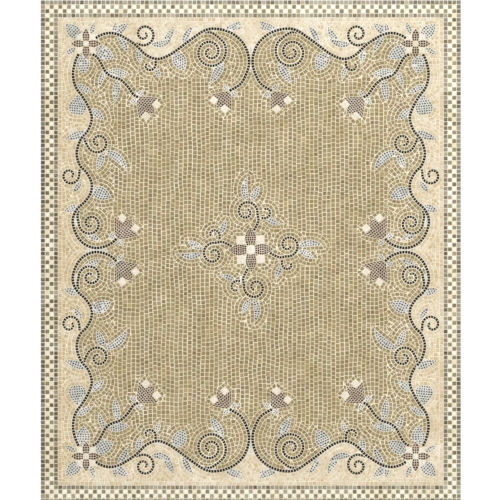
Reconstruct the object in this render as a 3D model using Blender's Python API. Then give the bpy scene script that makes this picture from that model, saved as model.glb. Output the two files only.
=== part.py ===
"""Marble mosaic panel: a bed of mortar on a mesh, faced with flat areas of small cut stones.

The panel hangs upright. Its face looks along -Y, its flat back lies in the plane y = 0, and the
origin is the middle of that back. Each area of one kind of stone is one flat piece, set flush
beside its neighbours. The ornament is drawn once for the top left quarter and mirrored.
"""

import math

import bmesh
import bpy
from mathutils import Vector
from mathutils.geometry import delaunay_2d_cdt, intersect_point_line

# Sizes of the panel in metres
PANEL_WIDTH = 1.0185
PANEL_HEIGHT = 1.2180
STONE_DEPTH = 0.0080
BED_DEPTH = 0.0030
MESH_DEPTH = 0.0007
FIT_GAP = 0.0003
JOINT = 0.0009

# Border rows, from the edge inwards
EDGE_STONE = 0.0105
OUTER_LINE_WIDTH = EDGE_STONE
CHECKER_WIDTH = 2 * EDGE_STONE
INNER_LINE_WIDTH = EDGE_STONE

# Ornament strokes and squares in metres
VINE_WIDTH = 0.0075
SPIRAL_WIDTH = 0.0065
BUD_SQUARE = 0.0165
CORNER_SQUARE = 0.0140
CENTRE_SQUARE = 0.0200

# A leaf is widest at this share of its length
LEAF_SHOULDER = 0.42

# How finely a curve is followed
CURVE_STEPS = 12
SPIRAL_STEP = math.radians(20)
CHORD_ERROR = 0.0035
MERGE = 1e-6
EDGE_ERROR = 0.0002

# The ornament is drawn in millimetres for one quarter, right and down from a corner, with its middle
# at this half width and half height. The area inside the border reaches as far from that middle as
# the inner lengths, and places are shares of it, so the ornament is scaled with the panel. Its
# middle lies a little above the panel's, so the cream ground is broader at the foot.
DRAWN_UNIT = 0.001
DRAWN_HALF_WIDTH = 509.25
DRAWN_HALF_HEIGHT = 603.75
DRAWN_INNER_WIDTH = 470.5
DRAWN_INNER_HEIGHT = 565.7
ORNAMENT_RISE = 0.0035

# Vines of a quarter, through these points (right, down) from the panel's corner
TOP_VINE = [
    (130, 92), (152, 80), (180, 80), (204, 92), (236, 116), (262, 137), (288, 141), (312, 131),
    (342, 110), (370, 89), (400, 71), (430, 68), (462, 79), (488, 100), (503, 130), (503, 162),
    (485, 201), (457, 219),
]
DIAGONAL_VINE = [(122, 130), (138, 143), (150, 166), (166, 182), (190, 191), (208, 207), (236, 233)]
SIDE_VINE = [
    (89, 129), (78, 158), (76, 188), (90, 220), (110, 249), (122, 280), (115, 311), (95, 336),
    (85, 370), (93, 400), (114, 422), (122, 450), (110, 482), (88, 501), (75, 530), (82, 563),
    (106, 590), (140, 599), (166, 591), (184, 574),
]

# Spirals: the points where one leaves its vine, its middle, its first and last radius, and its
# first and last angle in degrees, clockwise as seen from the front where the angle grows
TOP_SPIRALS = [
    ([(383, 81), (402, 77), (423, 82)], (409, 124), (40, 11), (-40, 540)),
    ([(226, 106), (238, 108)], (247, 82), (27, 8), (90, -320)),
    ([(279, 144)], (259, 155), (18, 5), (0, 230)),
]
SIDE_SPIRALS = [
    ([(101, 329), (106, 342), (112, 355)], (138, 343), (27, 9), (140, -219)),
    ([(93, 400), (94, 414)], (70, 424), (24, 8), (-5, 340)),
    ([(88, 506), (90, 514), (87, 530)], (120, 541), (31, 9), (170, -230)),
]

# Leaves: base, tip and width, each springing from the nearest stroke of its sprig
CORNER_LEAVES = [
    ((97, 95), (58, 57), 30), ((95, 126), (101, 176), 25), ((124, 112), (172, 138), 28),
]
TOP_LEAVES = [
    ((180, 80), (209, 66), 13), ((184, 83), (209, 127), 15), ((262, 105), (317, 92), 15),
    ((325, 122), (345, 169), 34), ((453, 74), (488, 53), 16), ((439, 148), (411, 201), 20),
]
DIAGONAL_LEAVES = [((155, 170), (212, 178), 22), ((183, 190), (177, 246), 18)]
SIDE_LEAVES = [
    ((86, 208), (122, 224), 16), ((104, 246), (65, 272), 36), ((119, 261), (150, 289), 18),
    ((107, 318), (60, 333), 18), ((148, 362), (176, 390), 14), ((120, 456), (168, 478), 32),
    ((89, 498), (55, 510), 16),
]

# Buds: base and the tip of the middle petal
BUDS = {
    "top": ((456, 222), (427, 258)),
    "diagonal": ((237, 237), (277, 272)),
    "side": ((186, 572), (221, 528)),
}
BUD_PROFILE = [(0.00, 0.14), (0.20, 0.36), (0.56, 0.66)]
BUD_SQUARE_PLACE = (0.82, 0.38)

# Flowers: middle, reach of a petal, its width, and how far out a white square lies
CORNER_FLOWER = ((106, 104), 35, 17, 16)
CENTRE_FLOWER = ((DRAWN_HALF_WIDTH, DRAWN_HALF_HEIGHT), 52, 26, 23)

# A petal is widest at this share of its reach
PETAL_SHOULDER = 0.66

# One centre sprig, as steps right and down from the middle of the panel
CENTRE_STEM = ([(12, -54), (18, -64), (21, -76)], (-8, -91.5), (28, 9), (15, -370))
CENTRE_CURL = ([(19, -75), (30, -76)], (38, -90), (16, 6), (110, -110))
CENTRE_LEAVES = [((0, -114), (-6, -176), 17), ((5, -112), (24, -152), 13), ((42, -76), (74, -60), 13)]

DARK_OLIVE = "6F6650"
CHECKER_OLIVE = "B5AE93"
CREAM = "E7DBC3"
OLIVE = "B1A27B"
BLACK = "24262B"
ROSE_BROWN = "8B6A5C"
GREY_MORTAR = "C9C2B2"
WHITE_SCRIM = "E4E2DA"


# Curves and outlines

def smooth(points):
    """Return a smooth run through the points, as a Catmull-Rom curve."""
    ends = [points[0] * 2 - points[1], *points, points[-1] * 2 - points[-2]]
    run = []
    for a, b, c, d in zip(ends, ends[1:], ends[2:], ends[3:]):
        slope, bend, twist = c - a, a * 2 - b * 5 + c * 4 - d, b * 3 - a - c * 3 + d
        for step in range(CURVE_STEPS):
            t = step / CURVE_STEPS
            run.append(b + (slope * t + bend * t**2 + twist * t**3) / 2)
    return [*run, points[-1]]


def spiral_points(middle, radii, angles):
    """Return points of a spiral whose radius changes evenly with its angle."""
    first, last = math.radians(angles[0]), math.radians(angles[1])
    count = math.ceil(abs(last - first) / SPIRAL_STEP)
    points = []
    for step in range(count + 1):
        share = step / count
        angle = first + (last - first) * share
        radius = radii[0] + (radii[1] - radii[0]) * share
        points.append(Vector(middle) + radius * Vector((math.cos(angle), math.sin(angle))))
    return points


def thin(points, error):
    """Keep only the points needed for straight runs that stay this close to the curve."""
    kept = [0]
    for index in range(2, len(points)):
        start, end = points[kept[-1]], points[index]
        skipped = points[kept[-1] + 1:index]
        if max((p - intersect_point_line(p, start, end)[0]).length for p in skipped) > error:
            kept.append(index - 1)
    return [points[index] for index in [*kept, len(points) - 1]]


def ribbon(points, width):
    """Return a stroke along the points: a function that gives its quads, widened by a margin."""

    def outlines(margin):
        half = width / 2 + margin
        start = (points[1] - points[0]).normalized() * margin
        end = (points[-1] - points[-2]).normalized() * margin
        run = [points[0] - start, *points[1:-1], points[-1] + end]
        sides = []
        for index, point in enumerate(run):
            into = (point - run[index - 1]).normalized() if index else None
            out = (run[index + 1] - point).normalized() if index + 1 < len(run) else None
            along = ((into or out) + (out or into)).normalized()
            reach = half / max(along.dot(out or into), 0.5)
            across = along.orthogonal() * reach
            sides.append((point - across, point + across))
        return [round_middle([*near, *far]) for near, far in zip(sides, sides[1:])]

    return outlines


def round_middle(corners):
    """Return the corners in the order in which they lie round their middle, so no edges cross."""
    middle = sum(corners, Vector((0, 0))) / len(corners)
    return sorted(corners, key=lambda corner: math.atan2(*(corner - middle).yx))


def anticlockwise(corners):
    """Return the corners in the order that runs anticlockwise."""
    area = sum(a.cross(b) for a, b in zip(corners, corners[1:] + corners[:1]))
    return corners if area > 0 else corners[::-1]


def polygon(corners):
    """Return a closed outline: a function that gives it with its edges moved out by a margin."""
    ring = anticlockwise(corners)

    def outlines(margin):
        grown = []
        for index, corner in enumerate(ring):
            into = (corner - ring[index - 1]).normalized()
            out = (ring[(index + 1) % len(ring)] - corner).normalized()
            normal = (-into.orthogonal() - out.orthogonal()).normalized()
            grown.append(corner + normal * margin / max(normal.dot(-into.orthogonal()), 0.3))
        return [grown]

    return outlines


def leaf(base, tip, width):
    """Return a leaf, widest a little before its middle."""
    along = tip - base
    across = along.orthogonal().normalized() * width / 2
    widest = base + along * LEAF_SHOULDER
    return polygon([base, widest + across, tip, widest - across])


def square(middle, side, along):
    """Return a square with two sides along the given direction."""
    reach = along.normalized() * side / 2
    across = reach.orthogonal()
    corners = [reach + across, reach - across, -reach - across, across - reach]
    return polygon([middle + corner for corner in corners])


def frame(inset, width):
    """Return the four strips of a square-cornered ring whose outer edge lies inset from the panel's."""
    outer = Vector((PANEL_WIDTH / 2 - inset, PANEL_HEIGHT / 2 - inset))
    inner = outer - Vector((width, width))
    signs = [(-1, 1), (1, 1), (1, -1), (-1, -1)]
    outside = [Vector((outer.x * sx, outer.y * sz)) for sx, sz in signs]
    inside = [Vector((inner.x * sx, inner.y * sz)) for sx, sz in signs]
    strips = [
        [outside[i - 1], outside[i], inside[i], inside[i - 1]]
        for i in range(len(signs))
    ]
    return lambda margin: strips


# Places on the drawing

def quarter_place(sx, sz):
    """Return a function from drawn millimetres to a place on the panel, in the quarter of that sign."""
    border = OUTER_LINE_WIDTH + CHECKER_WIDTH + INNER_LINE_WIDTH
    half_width = PANEL_WIDTH / 2 - border
    half_height = PANEL_HEIGHT / 2 - border

    def place(point):
        across = (DRAWN_HALF_WIDTH - point[0]) / DRAWN_INNER_WIDTH
        up = (DRAWN_HALF_HEIGHT - point[1]) / DRAWN_INNER_HEIGHT
        return Vector((sx * across * half_width, sz * up * half_height + ORNAMENT_RISE))

    return place


def centre_place(turn):
    """Return a function from steps off the middle of the drawing, turned by quarter turns."""
    place = quarter_place(-1, 1)

    def turned(point):
        right, down = point
        for _ in range(turn):
            right, down = -down, right
        return place((DRAWN_HALF_WIDTH + right, DRAWN_HALF_HEIGHT + down))

    return turned


def drawn(size):
    """Turn a drawn width in millimetres into metres."""
    return size * DRAWN_UNIT


# Parts of the ornament

def vine_run(points, place):
    """Return the middle line of a vine."""
    return thin(smooth([place(point) for point in points]), CHORD_ERROR)


def spiral_run(vines, lead, middle, radii, angles, place):
    """Return the middle line of a spiral, which starts on its vine where it has one."""
    points = [place(point) for point in [*lead, *spiral_points(middle, radii, angles)]]
    start = nearest(vines, points[0]) if vines else points[0]
    return thin(smooth([start, *points[1:]]), CHORD_ERROR)


def nearest(runs, point):
    """Return the place on the runs that is nearest to the point."""
    places = []
    for run in runs:
        for start, end in zip(run, run[1:]):
            foot, share = intersect_point_line(point, start, end)
            places.append(start.lerp(end, min(max(share, 0.0), 1.0)))
    return min(places, key=lambda found: (found - point).length)


def leaves(rows, place, runs=()):
    """Return the leaves, each springing from the nearest stroke where there are strokes."""
    shapes = []
    for base, tip, width in rows:
        start = nearest(runs, place(base)) if runs else place(base)
        shapes.append(leaf(start, place(tip), drawn(width)))
    return shapes


def sprig(vines, spirals, leaf_rows, place):
    """Return the strokes and leaves of one sprig."""
    runs = [vine_run(points, place) for points in vines]
    strokes = [ribbon(run, VINE_WIDTH) for run in runs]
    for values in spirals:
        runs.append(spiral_run(runs, *values, place))
        strokes.append(ribbon(runs[-1], SPIRAL_WIDTH))
    return strokes + leaves(leaf_rows, place, runs)


def flower(flower_values, square_side, place):
    """Return four petals round a square that also takes in the white square of each corner."""
    middle, reach, width, square_reach = flower_values
    centre = Vector(middle)
    half = square_reach + square_side / DRAWN_UNIT / 2
    corners = [(-half, -half), (half, -half), (half, half), (-half, half)]
    shapes = [polygon([place(centre + Vector(step)) for step in corners])]
    for right, down in ((0, -1), (1, 0), (0, 1), (-1, 0)):
        along = Vector((right, down))
        across = Vector((-down, right)) * width / 2
        widest = centre + along * reach * PETAL_SHOULDER
        petal = [centre, widest + across, centre + along * reach, widest - across]
        shapes.append(polygon([place(point) for point in petal]))
    return shapes


def bud(base, tip, place):
    """Return the body of a bud, with a middle petal between two white squares."""
    base, tip = place(base), place(tip)
    along = tip - base
    across = along.orthogonal()
    left = [base + along * a + across * b for a, b in BUD_PROFILE]
    right = [base + along * a - across * b for a, b in BUD_PROFILE]
    body = polygon([*left, tip, *reversed(right)])
    reach, offset = BUD_SQUARE_PLACE
    whites = [
        square(base + along * reach + across * offset * side, BUD_SQUARE, along)
        for side in (-1, 1)
    ]
    return [body, *whites]


# Flat pieces

def box_of(outlines):
    points = [point for outline in outlines for point in outline]
    xs = [point.x for point in points]
    zs = [point.y for point in points]
    return min(xs), max(xs), min(zs), max(zs)


def apart(a, b):
    return a[0] > b[1] or b[0] > a[1] or a[2] > b[3] or b[2] > a[3]


def sheet_of(shapes, neighbours):
    """Return points and triangles of the shapes, less the neighbours and a joint round them."""
    inside = [outline for shape in shapes for outline in shape(0.0)]
    reach = box_of(inside)
    outside = [outline for shape in neighbours for outline in shape(JOINT)]
    outside = [outline for outline in outside if not apart(reach, box_of([outline]))]
    points, triangles, sources = triangulate(inside + outside)
    kept = [
        triangle
        for triangle, source in zip(triangles, sources)
        if source and max(source) < len(inside)
    ]
    return points, largest_sheet(kept)


def triangulate(outlines):
    """Split outlines that may cross into triangles, each with the numbers of those that cover it."""
    points, faces = [], []
    for outline in outlines:
        faces.append(range(len(points), len(points) + len(outline)))
        points.extend(anticlockwise(outline))
    found, _, triangles, _, _, sources = delaunay_2d_cdt(points, [], faces, 1, MERGE, True)
    return found, triangles, sources


def largest_sheet(triangles):
    """Return the triangles of the largest connected sheet: a scrap beside it is part of a joint."""
    by_edge = {}
    for triangle in triangles:
        for start, end in zip(triangle, triangle[1:] + triangle[:1]):
            by_edge.setdefault(frozenset((start, end)), []).append(triangle)
    left = {tuple(triangle): triangle for triangle in triangles}
    sheets = []
    while left:
        sheet, front = [], [left.pop(next(iter(left)))]
        while front:
            triangle = front.pop()
            sheet.append(triangle)
            for edge in zip(triangle, triangle[1:] + triangle[:1]):
                near = [other for other in by_edge[frozenset(edge)] if tuple(other) in left]
                front += [left.pop(tuple(other)) for other in near]
        sheets.append(sheet)
    return max(sheets, key=len)


def edge_loops(points, triangles):
    """Return the closed edges of a sheet, outer edge and holes, without points on a straight run."""
    edges = {edge for t in triangles for edge in zip(t, t[1:] + t[:1])}
    following = {}
    for start, end in edges:
        if (end, start) not in edges:
            following.setdefault(start, []).append(end)
    loops = []
    while following:
        start = next(iter(following))
        loop, here = [], start
        while here != start or not loop:
            loop.append(points[here])
            ends = following[here]
            after = ends.pop()
            if not ends:
                del following[here]
            here = after
        loops.append(straightened(loop))
    return loops


def straightened(loop):
    """Return a closed loop without the points that lie close to a straight edge."""
    first = min(range(len(loop)), key=lambda index: sum(loop[index]))
    return thin(loop[first:] + loop[:first + 1], EDGE_ERROR)[:-1]


def add_object(name, mesh, material):
    data = bpy.data.meshes.new(name)
    mesh.to_mesh(data)
    mesh.free()
    data.materials.append(material)
    piece = bpy.data.objects.new(name, data)
    bpy.context.collection.objects.link(piece)
    return piece


def flat_piece(name, shapes, neighbours, material):
    """Lay one area of stone: its outline cut out of the panel's face and given the stones' depth."""
    back = -(MESH_DEPTH + BED_DEPTH + 2 * FIT_GAP)
    loops = edge_loops(*sheet_of(shapes, neighbours))
    points, triangles, sources = triangulate(loops)
    mesh = bmesh.new()
    corners = [mesh.verts.new((point.x, back, point.y)) for point in points]
    for triangle, source in zip(triangles, sources):
        if len(source) % 2:
            mesh.faces.new([corners[index] for index in triangle])
    front = bmesh.ops.extrude_face_region(mesh, geom=mesh.faces[:])["geom"]
    raised = [item for item in front if isinstance(item, bmesh.types.BMVert)]
    bmesh.ops.translate(mesh, vec=(0, -STONE_DEPTH, 0), verts=raised)
    bmesh.ops.recalc_face_normals(mesh, faces=mesh.faces[:])
    return add_object(name, mesh, material)


def backing_plate(name, back, depth, material):
    """Make a plate of the panel's full size, with its back at the given depth."""
    mesh = bmesh.new()
    bmesh.ops.create_cube(mesh, size=1)
    bmesh.ops.scale(mesh, vec=(PANEL_WIDTH, depth, PANEL_HEIGHT), verts=mesh.verts[:])
    bmesh.ops.translate(mesh, vec=(0, -back - depth / 2, 0), verts=mesh.verts[:])
    return add_object(name, mesh, material)


def material_of(name, colour, roughness):
    """Make a plain finish from an sRGB hex colour."""
    channels = [int(colour[i:i + 2], 16) / 255 for i in (0, 2, 4)]
    linear = [c / 12.92 if c <= 0.04045 else ((c + 0.055) / 1.055) ** 2.4 for c in channels]
    material = bpy.data.materials.new(name)
    material.use_nodes = True
    shader = material.node_tree.nodes["Principled BSDF"]
    shader.inputs["Base Color"].default_value = (*linear, 1)
    shader.inputs["Roughness"].default_value = roughness
    shader.inputs["Metallic"].default_value = 0
    return material


# The panel

def build_backing():
    scrim = material_of("glass_fibre_scrim", WHITE_SCRIM, 0.8)
    mortar = material_of("cement_mortar", GREY_MORTAR, 0.9)
    backing_plate("backing_mesh", 0, MESH_DEPTH, scrim)
    backing_plate("mortar_bed", MESH_DEPTH + FIT_GAP, BED_DEPTH, mortar)


def build_border():
    """Lay the three rings of the border and return the place where the inside begins."""
    line = material_of("dark_olive_marble", DARK_OLIVE, 0.45)
    checker = material_of("olive_and_white_marble", CHECKER_OLIVE, 0.45)
    rings = [
        ("outer_line", OUTER_LINE_WIDTH, line),
        ("checker_border", CHECKER_WIDTH, checker),
        ("inner_line", INNER_LINE_WIDTH, line),
    ]
    inset = 0.0
    for name, width, material in rings:
        flat_piece(name, [frame(inset, width - JOINT)], [], material)
        inset += width
    return inset


def build_ornament():
    """Lay flowers, buds and sprigs in that order, each cut back from those before it."""
    rose = material_of("rose_brown_marble", ROSE_BROWN, 0.45)
    black = material_of("black_marble", BLACK, 0.35)
    laid = []

    def lay(name, shapes, material):
        flat_piece(name, shapes, laid, material)
        laid.extend(shapes)

    quarters = {"top_left": (-1, 1), "top_right": (1, 1), "low_left": (-1, -1), "low_right": (1, -1)}
    lay("centre_flower", flower(CENTRE_FLOWER, CENTRE_SQUARE, quarter_place(-1, 1)), rose)
    for corner, signs in quarters.items():
        place = quarter_place(*signs)
        shapes = flower(CORNER_FLOWER, CORNER_SQUARE, place) + leaves(CORNER_LEAVES, place)
        lay(f"corner_flower_{corner}", shapes, rose)
        for bud_name, (base, tip) in BUDS.items():
            lay(f"{bud_name}_bud_{corner}", bud(base, tip, place), rose)
    for corner, signs in quarters.items():
        place = quarter_place(*signs)
        sprigs = {
            "top": ([TOP_VINE], TOP_SPIRALS, TOP_LEAVES),
            "diagonal": ([DIAGONAL_VINE], [], DIAGONAL_LEAVES),
            "side": ([SIDE_VINE], SIDE_SPIRALS, SIDE_LEAVES),
        }
        for sprig_name, values in sprigs.items():
            lay(f"{sprig_name}_sprig_{corner}", sprig(*values, place), black)
    for turn, side in enumerate(("up", "right", "down", "left")):
        shapes = sprig([], [CENTRE_STEM, CENTRE_CURL], CENTRE_LEAVES, centre_place(turn))
        lay(f"centre_sprig_{side}", shapes, black)
    return laid


def field_outline():
    """Return the edge of the olive field: the vines and flowers of all four quarters in turn."""
    corners = []
    for signs in ((-1, 1), (1, 1), (1, -1), (-1, -1)):
        place = quarter_place(*signs)
        top_run = up_to_axis(vine_run(TOP_VINE, place), 0)
        side_run = up_to_axis(vine_run(SIDE_VINE, place), 1)
        run = side_run[::-1] + [place(CORNER_FLOWER[0])] + top_run
        corners += run if signs[0] * signs[1] < 0 else run[::-1]
    return corners


def up_to_axis(run, axis):
    """Return a run up to its point nearest the middle line of the ornament that the axis crosses."""
    middle = (0.0, ORNAMENT_RISE)[axis]
    last = min(range(len(run)), key=lambda index: abs(run[index][axis] - middle))
    return run[:last + 1]


def build_grounds(inset, ornament):
    """Lay the olive field inside the vines and the cream ground outside them."""
    cream = material_of("cream_marble", CREAM, 0.5)
    olive = material_of("olive_marble", OLIVE, 0.5)
    field = polygon(field_outline())
    half_width, half_height = PANEL_WIDTH / 2 - inset, PANEL_HEIGHT / 2 - inset
    signs = [(-1, -1), (1, -1), (1, 1), (-1, 1)]
    ground = polygon([Vector((half_width * sx, half_height * sz)) for sx, sz in signs])
    flat_piece("olive_field", [field], ornament, olive)
    flat_piece("cream_ground", [ground], [field, *ornament], cream)


for old in list(bpy.data.objects):
    bpy.data.objects.remove(old)
build_backing()
border_inset = build_border()
ornament_shapes = build_ornament()
build_grounds(border_inset, ornament_shapes)
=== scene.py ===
# %% [markdown]
# # A marble mosaic panel, stone by stone
#
# The real panel is a sheet of glass-fibre mesh, a thin bed of mortar and more than fifteen thousand small
# marble stones, each cut by hand and pressed in beside its neighbours. The CAD frame holds the same
# panel as flat areas of stone. Here every area is laid again from single stones, so that the joints,
# the rows and the colour of each stone show.
#
# The first step loads the frame. The box round it is kept, because the finished panel has to fill the
# same box.

# %% Load the frame
import math
import random

import bpy
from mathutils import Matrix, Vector, kdtree, noise


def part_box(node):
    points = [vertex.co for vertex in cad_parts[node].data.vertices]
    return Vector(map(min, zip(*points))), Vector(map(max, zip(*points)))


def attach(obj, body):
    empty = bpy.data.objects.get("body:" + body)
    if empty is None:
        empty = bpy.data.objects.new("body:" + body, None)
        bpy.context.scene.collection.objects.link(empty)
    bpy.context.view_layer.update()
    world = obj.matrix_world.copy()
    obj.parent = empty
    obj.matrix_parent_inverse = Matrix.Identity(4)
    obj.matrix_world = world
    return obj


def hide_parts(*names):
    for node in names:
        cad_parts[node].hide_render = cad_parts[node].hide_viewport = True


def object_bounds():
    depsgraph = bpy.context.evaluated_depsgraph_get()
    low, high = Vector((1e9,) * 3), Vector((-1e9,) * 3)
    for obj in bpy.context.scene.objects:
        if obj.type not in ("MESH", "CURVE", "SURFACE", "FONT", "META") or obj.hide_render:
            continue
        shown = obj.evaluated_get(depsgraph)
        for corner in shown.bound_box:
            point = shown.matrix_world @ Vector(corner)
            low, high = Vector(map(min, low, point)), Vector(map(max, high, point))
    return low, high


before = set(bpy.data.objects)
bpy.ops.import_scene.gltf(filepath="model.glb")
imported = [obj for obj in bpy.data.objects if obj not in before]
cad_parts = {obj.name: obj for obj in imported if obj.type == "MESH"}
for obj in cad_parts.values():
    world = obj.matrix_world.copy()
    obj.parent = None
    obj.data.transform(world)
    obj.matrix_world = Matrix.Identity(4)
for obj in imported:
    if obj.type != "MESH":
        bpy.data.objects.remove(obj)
cad_low, cad_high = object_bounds()
random.seed(12)
print("CAD nodes:", len(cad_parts), "box:", cad_low[:], cad_high[:])

# %% [markdown]
# A mason works in millimetres, so the layout does too: right and up from the middle of the panel. The
# depths come from the frame, because the stones have to sit where the CAD areas are: their backs on
# the mortar bed and their faces in the front plane. Some kinds of stone have a joint of their own, and
# each kind has a least share of its cell that has to be left when it is cut.

# %% Sizes of the panel, the stones and the joints
MM = 0.001
HALF_WIDTH = cad_high.x / MM
HALF_HEIGHT = cad_high.z / MM
STONE_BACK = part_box("olive_field")[1].y
STONE_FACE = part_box("olive_field")[0].y
BORDER_COLUMNS, BORDER_LINES = 97, 116
BORDER_ROWS = 4
BORDER = 42.0
GROUND_STONE = 9.3
COLUMN = 10.57
VINE_STONE, VINE_WIDTH = 6.9, 8.2
SPIRAL_STONE, SPIRAL_WIDTH = 6.6, 7.6
SMALL_STONE = 6.1
JOINT = 1.6
END_JOINT_SHARE = 0.85
JOINTS = {"vine": 1.4, "strip": 1.4, "leaf": 1.7, "rose": 1.15, "olive_column": 1.5}
LEAST_SHARE = 0.5
LEAST_SHARES = {
    "vine": 0.55, "strip": 0.3, "leaf": 0.45, "rose": 0.45, "white": 0.4, "olive": 0.6, "cream": 0.6,
    "olive_column": 0.6,
}
print("stones stand", round((STONE_BACK - STONE_FACE) / MM, 1), "mm deep")

# %% [markdown]
# ## The drawing
#
# The vines, leaves and buds are drawn for the top left quarter, in millimetres right and down from a
# corner. The other three quarters are mirror images. A vine runs smoothly through its points. A spiral
# has a lead away from its vine, a middle, a first and last radius, and a first and last angle. A flower
# has the radii where its petals start and end, their width, and the place and size of its white stones.

# %% The ornament of one quarter
DRAWN_HALF_WIDTH, DRAWN_HALF_HEIGHT = 509.25, 603.75
DRAWN_INNER_WIDTH, DRAWN_INNER_HEIGHT = 470.5, 565.7
ORNAMENT_RISE = 3.5
TOP_VINE = [
    (130, 92), (140, 85), (160, 79), (182, 81), (204, 92), (228, 108), (250, 129), (268, 139),
    (288, 141), (314, 130), (342, 110), (368, 91), (400, 71), (430, 69), (462, 79), (488, 100),
    (501, 125), (505, 150), (500, 173), (485, 201), (457, 219),
]
DIAGONAL_VINE = [
    (122, 130), (134, 137), (145, 155), (155, 173), (170, 184), (190, 191), (207, 206), (223, 228),
    (235, 234),
]
SIDE_VINE = [
    (89, 129), (80, 150), (75, 178), (81, 208), (97, 231), (112, 256), (121, 284), (112, 314),
    (94, 336), (84, 370), (92, 399), (108, 416), (120, 440), (119, 464), (104, 487), (84, 506),
    (74, 534), (84, 568), (104, 590), (132, 599), (163, 591), (182, 576),
]
SPIRALS = [
    ([(383, 81), (400, 77), (416, 79)], (410.3, 124.5), (40, 7), (-40, 610)),
    ([(228, 104), (239, 107)], (248.6, 81.8), (27, 4), (95, -420)),
    ([(276.5, 145.5), (277, 152)], (259.5, 156), (17, 4), (10, 225)),
    ([(102, 331), (105, 341)], (136.5, 343.2), (27, 6), (150, -280)),
    ([(92, 400), (91, 412)], (67.3, 423), (23.5, 6), (-10, 410)),
    ([(89, 508), (86, 521), (87, 530)], (117.5, 539.5), (29, 5.5), (185, -310)),
]
PALE_STRIPS = [
    ([(396, 74.5), (410, 73.5), (424, 74.5)], 5), ([(80.5, 518), (80, 532), (82, 546)], 5.5),
    ([(509.2, 112), (509.2, 140), (509.2, 168)], 7), ([(112, 603.7), (135, 603.7), (158, 603.7)], 7),
]

# %% Leaves of one quarter: base, tip, width and how far the middle bows to the right of the way
LEAVES = [
    ((92, 90), (58, 57), 31, 0), ((118, 81), (129, 53), 13, 0), ((82, 115), (55, 131), 13, 0),
    ((99, 132), (101, 178), 33, 0), ((130, 115), (174, 140), 32, 0),
    ((174, 79), (179, 53), 12, -1), ((176, 81), (210, 55), 20, 0), ((184, 84), (209, 127), 15, 2),
    ((234, 118), (238, 152), 14, 0), ((279, 162), (286, 190), 12, 0),
    ((266, 105), (317, 93), 16, -6), ((296, 99), (320, 62), 16, -4), ((344, 104), (369, 61), 15, 3),
    ((326, 126), (346, 170), 34, 0), ((445, 71), (489, 50), 17, -3), ((451, 72), (490, 65), 13, 1),
    ((441, 151), (411, 201), 21, 0), ((160, 173), (212, 178), 22, 0), ((150, 170), (138, 210), 13, 0),
    ((184, 192), (177, 246), 18, 0), ((85, 204), (122, 224), 16, 0), ((121, 262), (150, 289), 18, 0),
    ((108, 318), (55, 336), 19, 0), ((149, 369), (134, 410), 18, 0), ((152, 366), (206, 412), 20, 10),
    ((96, 438), (75, 466), 13, 0), ((122, 457), (168, 478), 32, 0), ((88, 497), (53, 510), 18, 0),
    ((104, 562), (143, 581), 14, 0),
]
BUDS = [((456, 223), (426, 260)), ((235, 238), (275, 274)), ((184, 574), (219, 529))]
CORNER_FLOWER, CORNER_FLOWER_PLACE = (6.0, 36.5, 18, 15.2, 13.5), (106.8, 104.4)
CENTRE_FLOWER = (10.3, 54, 27, 23.6, 19.5)
CENTRE_RISE = 1.0
CENTRE_TURN = math.radians(1.5)
CENTRE_SPIRALS = [
    ([(8.5, -46), (13, -53), (18.5, -64), (21, -72)], (-8.3, -91.7), (28, 6), (15, -430)),
    ([(21, -76), (26, -76)], (37.8, -90.6), (16, 6), (100, -115)),
]
CENTRE_LEAVES = [
    ((-4, -118), (-4, -176), 16, 8), ((5, -119), (25, -154), 16, 0), ((40, -74), (75, -60), 14, -2),
]
print("leaves drawn:", len(LEAVES), "spirals drawn:", len(SPIRALS))

# %% [markdown]
# A drawn place becomes a place on the panel by one small function. It folds the quarter over for the
# other three, and turns the middle ornament by quarter turns, because that one isn't mirrored. The
# mason set the whole ornament a few millimetres above the panel's middle.

# %% From the drawing to the panel
FIT_X = (HALF_WIDTH - BORDER) / DRAWN_INNER_WIDTH
FIT_Z = (HALF_HEIGHT - BORDER) / DRAWN_INNER_HEIGHT
SPIRAL_STEP = 20


def quarter(side_x, side_z):
    """Return the function that puts a drawn point on the panel, in the quarter of these signs."""
    def place(point):
        across = (DRAWN_HALF_WIDTH - point[0]) * FIT_X
        up = (DRAWN_HALF_HEIGHT - point[1]) * FIT_Z
        return Vector((side_x * across, side_z * up + ORNAMENT_RISE))
    return place


def centre_arm(turns):
    """Return the function that puts a step from the middle on the panel, after quarter turns."""
    turn = CENTRE_TURN - math.pi / 2 * turns
    cosine, sine = math.cos(turn), math.sin(turn)

    def place(point):
        right, up = point[0], -point[1]
        return Vector((
            (right * cosine - up * sine) * FIT_X,
            (right * sine + up * cosine + CENTRE_RISE) * FIT_Z + ORNAMENT_RISE,
        ))
    return place


def smooth(points, step=1.0):
    """Return points about a step apart on a smooth run through the given ones."""
    ends = [points[0] * 2 - points[1], *points, points[-1] * 2 - points[-2]]
    run = []
    for a, b, c, d in zip(ends, ends[1:], ends[2:], ends[3:]):
        slope, bend, twist = c - a, a * 2 - b * 5 + c * 4 - d, b * 3 - a - c * 3 + d
        count = max(2, round((c - b).length / step))
        for index in range(count):
            t = index / count
            run.append(b + (slope * t + bend * t**2 + twist * t**3) / 2)
    return [*run, points[-1]]


def spiral_points(middle, radii, angles):
    """Return points on a spiral whose radius shrinks evenly with its turn."""
    count = math.ceil(abs(angles[1] - angles[0]) / SPIRAL_STEP)
    points = []
    for index in range(count + 1):
        share = index / count
        angle = math.radians(angles[0] + (angles[1] - angles[0]) * share)
        radius = radii[0] + (radii[1] - radii[0]) * share
        points.append((middle[0] + radius * math.cos(angle), middle[1] + radius * math.sin(angle)))
    return points


top_left = quarter(-1, 1)
print("vine length:", round(len(smooth([top_left(p) for p in SIDE_VINE]))), "mm in one side vine")

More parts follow.
